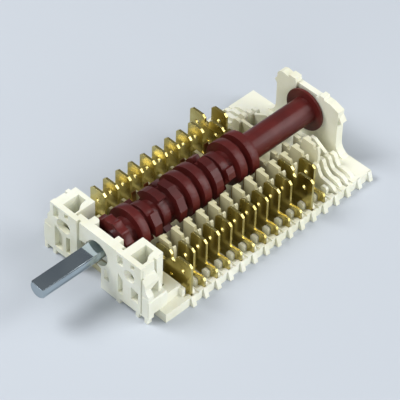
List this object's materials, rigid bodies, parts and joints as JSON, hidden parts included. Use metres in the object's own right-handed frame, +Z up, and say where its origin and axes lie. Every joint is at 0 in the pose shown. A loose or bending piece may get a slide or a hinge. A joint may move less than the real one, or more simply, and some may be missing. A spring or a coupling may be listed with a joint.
{
  "type": "oven selector switch",
  "caption": "Rotary cam selector switch for an oven: comb-walled plastic base, dark red camshaft, D shaft, fixing bracket and two rows of brass push-on tabs.",
  "frame": {"origin": "middle of the overall length and width, at the underside of the base", "axes": "+Y along the spindle from the control shaft to the rear wall, +X towards the row that starts with a double terminal, +Z up off the underside of the base"},
  "size_m": [0.052, 0.1126, 0.0225],
  "materials": {
    "cream_plastic": "moulded, slightly satin",
    "maroon_plastic": "moulded satin",
    "plunger_plastic": "moulded satin",
    "shaft_steel": "zinc plated, drawn",
    "spring_steel": "drawn wire",
    "tab_brass": "stamped, lightly oxidised",
    "contact_bronze": "rolled spring strip"
  },
  "bodies": {
    "housing": {"base_housing": "cream_plastic", "contact_blade_left_01": "contact_bronze", "contact_blade_left_02": "contact_bronze", "contact_blade_left_03": "contact_bronze", "contact_blade_left_04": "contact_bronze", "contact_blade_left_05": "contact_bronze", "contact_blade_left_06": "contact_bronze", "contact_blade_left_07": "contact_bronze", "contact_blade_left_08": "contact_bronze", "contact_blade_left_09": "contact_bronze", "contact_blade_right_01": "contact_bronze", "contact_blade_right_02": "contact_bronze", "contact_blade_right_03": "contact_bronze", "contact_blade_right_04": "contact_bronze", "contact_blade_right_05": "contact_bronze", "contact_blade_right_06": "contact_bronze", "contact_blade_right_07": "contact_bronze", "contact_blade_right_08": "contact_bronze", "contact_blade_right_09": "contact_bronze", "detent_spring": "spring_steel", "double_terminal_left_11": "tab_brass", "double_terminal_right_01": "tab_brass", "double_terminal_right_11": "tab_brass", "front_bracket": "cream_plastic", "terminal_left_02": "tab_brass", "terminal_left_03": "tab_brass", "terminal_left_04": "tab_brass", "terminal_left_05": "tab_brass", "terminal_left_06": "tab_brass", "terminal_left_07": "tab_brass", "terminal_left_08": "tab_brass", "terminal_left_09": "tab_brass", "terminal_left_10": "tab_brass", "terminal_left_12": "tab_brass", "terminal_right_02": "tab_brass", "terminal_right_03": "tab_brass", "terminal_right_04": "tab_brass", "terminal_right_05": "tab_brass", "terminal_right_06": "tab_brass", "terminal_right_07": "tab_brass", "terminal_right_08": "tab_brass", "terminal_right_09": "tab_brass", "terminal_right_10": "tab_brass", "terminal_right_12": "tab_brass"},
    "spindle": {"camshaft": "maroon_plastic", "d_shaft": "shaft_steel"},
    "detent": {"detent_plunger": "plunger_plastic"}
  },
  "joints": [
    {"name": "spindle_turn", "type": "hinge", "parent": "housing", "child": "spindle", "pos_m": [0, -0.014, 0.014], "axis": [0, 1, 0], "continuous": true},
    {"name": "detent_slide", "type": "slide", "parent": "housing", "child": "detent", "axis": [0, 0, 1], "range_m": [-0.0009, 0], "stiffness_N_per_m": 2000, "springref_m": 0.0006, "deforming": ["detent_spring"]}
  ]
}
